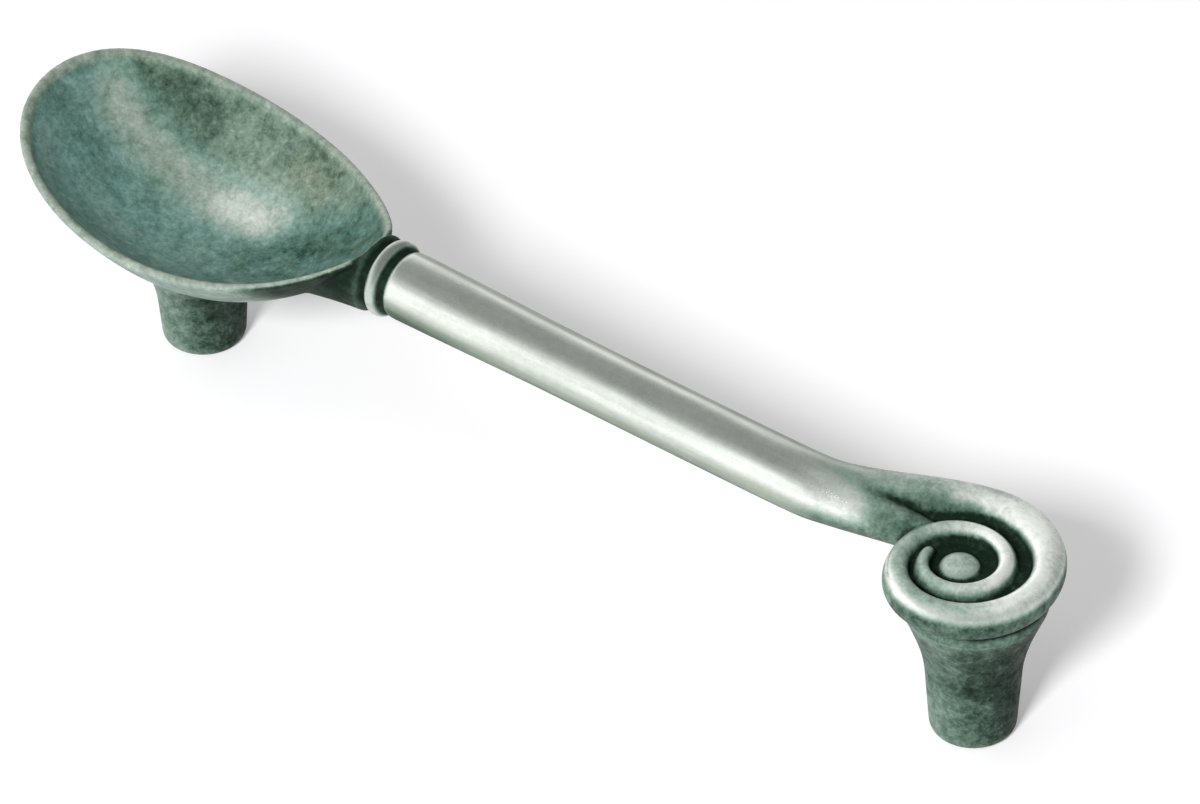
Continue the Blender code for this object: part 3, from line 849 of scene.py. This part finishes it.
        # Bend: the near strand keeps the bar's painted shade, then darkens on its way under the scroll and on
        # its underside, painted shade over the patina; the far one stays lighter
        near_strand = rise(path - y, 0.0012, 0.0012) * rise(reach - first, 0.0008, 0.0006)
        near_strand *= (x < RIGHT_POST - 0.0040) * (x > BEND_START)
        still_bar = rise(x, BEND_START, 0.0040) * (1.0 - part ** 2)
        self.toward(near_strand * still_bar, NEAR_STRAND_TONE - self.bar_shade)
        self.toward(near_strand * rise(x, RIGHT_POST - 0.0147, 0.0045), NEAR_STRAND_END_TONE)
        below = rise(x, RIGHT_POST - 0.0230, 0.0090) * rise(-upward, -0.15, 0.5)
        self.toward(near_strand * below, NEAR_STRAND_BELOW_TONE)
        upper = z > BAR_HEIGHT
        self.toward(self.near(FOLD_LINE, 0.0010) * upper * rise(x, BEND_START - 0.0030, 0.0050), FOLD_TONE)
        far_strand = rise(y - path, -0.0004, 0.0012) * rise(x, BEND_START + 0.0040, 0.0040)
        far_strand *= fall(x, entry.x - 0.0010, 0.0050) * rise(upward, 0.30, 0.40)
        self.toward(far_strand * upper, FAR_STRAND_TONE)
        self.toward(self.near(VALLEY_LINE, 0.0009) * upper * rise(x, BEND_START + 0.0020, 0.0070), VALLEY_TONE)

    def paint_posts(self):
        """Mottled dark green, with painted light on the side facing front left and painted shade on the side
        turned back right, and a paler ridge under the scroll.
        """
        x, z = self.x, self.z
        painted_light_and_shade = POST_PAINTED_LIGHT_AND_SHADE * (self.normals[:, 0] + self.normals[:, 1])
        self.toward(fall(z, CAPITAL_HEIGHT - 0.0002, 0.0004) * (x > 0.0), RIGHT_POST_TONE + painted_light_and_shade)
        self.toward(fall(z, BOWL_FLOOR - 0.0035, 0.0015) * (x < 0.0), LEFT_POST_TONE + 1.3 * painted_light_and_shade)
        self.toward((x > 0.0) * np.exp(-((z - CAPITAL_HEIGHT - 0.0007) / 0.0006) ** 2), RIDGE_TONE)

    def write(self):
        """Darken recesses, lighten edges, and write what the material reads."""
        numbers, inside = self.numbers, self.inside
        moved = numbers.spread(numbers.places, 20) - numbers.places
        hollowness = np.einsum("ij,ij->i", moved, self.normals) / RECESS_SIZE
        hollowness = numbers.spread(hollowness, 4)
        keep = (1.0 - 0.8 * self.polish) * (1.0 - 0.5 * inside) * (1.0 - 0.8 * self.blackened)
        self.tone -= RECESS_DARKENING * np.clip(hollowness, 0.0, 1.0) * keep
        self.tone += EDGE_LIGHTENING * np.clip(-hollowness, 0.0, 1.0) * keep
        numbers.write("tone", numbers.spread(np.clip(self.tone, 0.0, 1.0), 2))
        quiet = (self.polish, self.bead, 0.8 * self.painted_shoulder_highlight, 0.7 * self.blackened, 0.5 * self.sunk_eye)
        numbers.write("quiet", np.max(quiet, axis=0))
        olive = np.maximum(self.near(OLIVE_LINE, 0.0034), 0.75 * self.streak)
        olive = inside * np.maximum(olive, 0.7 * rise(self.y, 0.006, 0.003)) + 0.60 * (1.0 - inside)
        numbers.write("olive", np.max((olive, 0.8 * self.lip, 0.9 * self.polish), axis=0))


def paint_skin(skin):
    """Write the tone, where the finish is quiet and bare, and where it is olive, on every vertex."""
    patina = Patina(skin)
    patina.paint_bowl()
    patina.paint_neck_and_collar()
    patina.paint_bar()
    patina.paint_bend_and_scroll()
    patina.paint_posts()
    patina.write()


class Nodes:
    """Short calls for a material's or the world's nodes."""

    def __init__(self, tree):
        self.tree = tree

    def new(self, kind, **settings):
        node = self.tree.nodes.new(kind)
        for key, value in settings.items():
            setattr(node, key, value)
        return node

    def put(self, socket, value):
        if isinstance(value, bpy.types.NodeSocket):
            self.tree.links.new(value, socket)
        else:
            socket.default_value = value

    def math(self, operation, first, second=0.0, third=0.0, clamp=False):
        node = self.new("ShaderNodeMath", operation=operation, use_clamp=clamp)
        for socket, value in zip(node.inputs, (first, second, third)):
            self.put(socket, value)
        return node.outputs[0]

    def noise(self, scale, detail=3.0, roughness=0.55, distortion=0.0, stretch=(1, 1, 1)):
        place = self.new("ShaderNodeTexCoord").outputs["Object"]
        mapping = self.new("ShaderNodeMapping")
        self.put(mapping.inputs["Vector"], place)
        mapping.inputs["Scale"].default_value = stretch
        node = self.new("ShaderNodeTexNoise")
        self.put(node.inputs["Vector"], mapping.outputs[0])
        node.inputs["Scale"].default_value = scale
        node.inputs["Detail"].default_value = detail
        node.inputs["Roughness"].default_value = roughness
        node.inputs["Distortion"].default_value = distortion
        return node.outputs["Fac"]

    def ramp(self, value, stops, colour=False):
        node = self.new("ShaderNodeValToRGB")
        self.put(node.inputs[0], value)
        elements = node.color_ramp.elements
        while len(elements) < len(stops):
            elements.new(1.0)
        for element, (place, tone) in zip(elements, stops):
            element.position = place
            element.color = (*tone, 1.0) if colour else (tone, tone, tone, 1.0)
        return node.outputs[0]

    def attribute(self, name):
        return self.new("ShaderNodeAttribute", attribute_name=name).outputs["Fac"]

    def blend(self, factor, first, second):
        node = self.new("ShaderNodeMix", data_type="RGBA")
        self.put(node.inputs[0], factor)
        self.put(node.inputs[6], first)
        self.put(node.inputs[7], second)
        return node.outputs[2]


def antique_pewter():
    """Cast metal with a grey-green patina that is worn off along edges and on the bar; its tone also carries
    painted light and shade.
    """
    material = bpy.data.materials.new("antique_pewter")
    material.use_nodes = True
    n = Nodes(material.node_tree)
    shader = material.node_tree.nodes["Principled BSDF"]
    quiet = n.attribute("quiet")
    blotch = n.noise(420.0, 3.0, 0.6, 0.5)
    grain = n.noise(1300.0, 3.0, 0.65, 0.3)
    speck = n.noise(3400.0, 2.0, 0.6)
    mottle = n.math("MULTIPLY", n.math("SUBTRACT", blotch, 0.5), 0.50)
    mottle = n.math("MULTIPLY_ADD", n.math("SUBTRACT", grain, 0.5), 0.62, mottle)
    mottle = n.math("MULTIPLY_ADD", n.math("SUBTRACT", speck, 0.5), 0.30, mottle)
    amount = n.math("MULTIPLY_ADD", quiet, -0.56, 0.76)
    worn = n.math("MULTIPLY_ADD", mottle, amount, n.attribute("tone"), clamp=True)
    brushed = n.noise(900.0, 3.0, 0.6, 0.0, (0.10, 1.0, 1.0))
    worn = n.math("MULTIPLY_ADD", n.math("MULTIPLY", n.math("SUBTRACT", brushed, 0.5), quiet), 0.30, worn)
    teal = n.ramp(worn, TEAL_PATINA, colour=True)
    olive = n.ramp(worn, OLIVE_PATINA, colour=True)
    hue = n.ramp(n.noise(300.0, 2.0, 0.5, 0.3), ((0.40, 0.0), (0.68, 0.75)))
    hue = n.math("MAXIMUM", n.math("MULTIPLY", hue, 0.35), n.attribute("olive"))
    n.put(shader.inputs["Base Color"], n.blend(hue, teal, olive))
    bare = n.ramp(worn, ((0.0, 0.0), (0.40, 0.3), (0.65, 0.8), (0.86, 1.0)))
    n.put(shader.inputs["Metallic"], n.math("MULTIPLY", bare, n.math("MULTIPLY_ADD", quiet, 0.72, 0.28)))
    n.put(shader.inputs["Specular IOR Level"], n.ramp(worn, ((0.0, 0.05), (0.28, 0.26), (0.50, 0.45))))
    rough = n.ramp(worn, ((0.0, 0.60), (0.40, 0.50), (0.70, 0.40), (1.0, 0.22)))
    n.put(shader.inputs["Roughness"], n.math("MULTIPLY_ADD", n.math("SUBTRACT", grain, 0.5), 0.20, rough))
    bump = n.new("ShaderNodeBump")
    bump.inputs["Strength"].default_value = 0.30
    bump.inputs["Distance"].default_value = 0.00010
    height = n.math("MULTIPLY", mottle, n.math("MULTIPLY_ADD", bare, -0.85, 1.0))
    height = n.math("MULTIPLY", height, n.math("MULTIPLY_ADD", quiet, -0.75, 1.0))
    n.put(bump.inputs["Height"], height)
    n.put(shader.inputs["Normal"], bump.outputs[0])
    return material


def floor_material():
    """A pale matt floor that glows only where it is seen or mirrored, so it keeps the shadow."""
    material = bpy.data.materials.new("studio_floor")
    material.use_nodes = True
    n = Nodes(material.node_tree)
    shader = material.node_tree.nodes["Principled BSDF"]
    shader.inputs["Base Color"].default_value = FLOOR_COLOUR
    shader.inputs["Roughness"].default_value = 0.9
    shader.inputs["Specular IOR Level"].default_value = 0.1
    shader.inputs["Emission Color"].default_value = (1.0, 1.0, 1.0, 1.0)
    path = n.new("ShaderNodeLightPath")
    seen = n.math("ADD", path.outputs["Is Camera Ray"], path.outputs["Is Glossy Ray"])
    seen = n.math("ADD", seen, path.outputs["Is Transmission Ray"], clamp=True)
    n.put(shader.inputs["Emission Strength"], n.math("MULTIPLY", seen, FLOOR_GLOW))
    return material


def make_floor():
    mesh = bpy.data.meshes.new("studio_floor")
    corners = [(x * FLOOR_REACH, y * FLOOR_REACH, 0.0) for x, y in ((-1, -1), (1, -1), (1, 1), (-1, 1))]
    mesh.from_pydata(corners, [], [(0, 1, 2, 3)])
    floor = bpy.data.objects.new("studio_floor", mesh)
    bpy.context.scene.collection.objects.link(floor)
    mesh.materials.append(floor_material())


def make_world():
    """A studio that is bright on the left, dim on the right and dark overhead."""
    world = bpy.data.worlds.new("studio")
    bpy.context.scene.world = world
    world.use_nodes = True
    n = Nodes(world.node_tree)
    back = world.node_tree.nodes["Background"]
    direction = n.new("ShaderNodeTexCoord").outputs["Generated"]
    split = n.new("ShaderNodeSeparateXYZ")
    n.put(split.inputs[0], direction)
    bright = n.ramp(split.outputs["Z"], BRIGHT_SIDE)
    dim = n.ramp(split.outputs["Z"], DIM_SIDE)
    facing = n.math("MULTIPLY_ADD", split.outputs["X"], -0.85, n.math("MULTIPLY", split.outputs["Y"], -0.20))
    turn = n.ramp(n.math("MULTIPLY_ADD", facing, 0.5, 0.5), ((0.35, 0.0), (0.75, 1.0)))
    back.inputs["Color"].default_value = (1.0, 1.0, 1.0, 1.0)
    n.put(back.inputs["Strength"], n.math("MULTIPLY_ADD", turn, n.math("SUBTRACT", bright, dim), dim))


def soft_box(name, azimuth, elevation, distance, width, height, power):
    """Area lamp that looks at the handle: azimuth turns from -Y towards +X."""
    lamp = bpy.data.lights.new(name, "AREA")
    lamp.shape = "RECTANGLE"
    lamp.size = width
    lamp.size_y = height
    lamp.energy = power
    holder = bpy.data.objects.new(name, lamp)
    bpy.context.scene.collection.objects.link(holder)
    turn, lift = math.radians(azimuth), math.radians(elevation)
    away = Vector((math.sin(turn) * math.cos(lift), -math.cos(turn) * math.cos(lift), math.sin(lift)))
    holder.location = away * distance
    holder.visible_glossy = False
    holder.rotation_euler = away.to_track_quat("Z", "Y").to_euler()


def make_camera():
    """The photograph's camera: a long lens, above and to the right of the handle."""
    focal = PIXELS_PER_METRE * CAMERA_DISTANCE
    azimuth, elevation, roll = map(math.radians, (CAMERA_AZIMUTH, CAMERA_ELEVATION, CAMERA_ROLL))
    back = Vector((math.sin(azimuth) * math.cos(elevation), -math.cos(azimuth) * math.cos(elevation),
                   math.sin(elevation)))
    level = Vector((math.cos(azimuth), math.sin(azimuth), 0.0))
    up = back.cross(level)
    right = level * math.cos(roll) + up * math.sin(roll)
    top = up * math.cos(roll) - level * math.sin(roll)
    aside = IMAGE_WIDTH / 2 - FEET_IN_IMAGE[0]
    upwards = FEET_IN_IMAGE[1] - IMAGE_HEIGHT / 2
    ahead = (-back * focal + right * aside + top * upwards).normalized()
    right = (right - ahead * right.dot(ahead)).normalized()
    top = right.cross(ahead)
    lens = bpy.data.cameras.new("camera")
    lens.sensor_width = SENSOR_WIDTH
    lens.lens = focal / IMAGE_WIDTH * SENSOR_WIDTH
    lens.clip_end = 20
    camera = bpy.data.objects.new("camera", lens)
    bpy.context.scene.collection.objects.link(camera)
    pose = Matrix((right, top, -ahead)).transposed().to_4x4()
    pose.translation = Vector(((LEFT_POST + RIGHT_POST) / 2, 0.0, 0.0)) + back * CAMERA_DISTANCE
    camera.matrix_world = pose
    bpy.context.scene.camera = camera


make_camera()
make_world()
make_floor()
soft_box("key", 17.0, 40.0, 1.2, 0.24, 0.24, 14.0)
soft_box("fill_above", -20.0, 76.0, 1.2, 0.5, 0.5, 0.7)

casting = cast_skin()
paint_skin(casting)
casting.data.materials.clear()
casting.data.materials.append(antique_pewter())
casting.data.shade_smooth()
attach(casting, "root")
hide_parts("spoon_handle")

bpy.context.scene.view_settings.view_transform = "Standard"
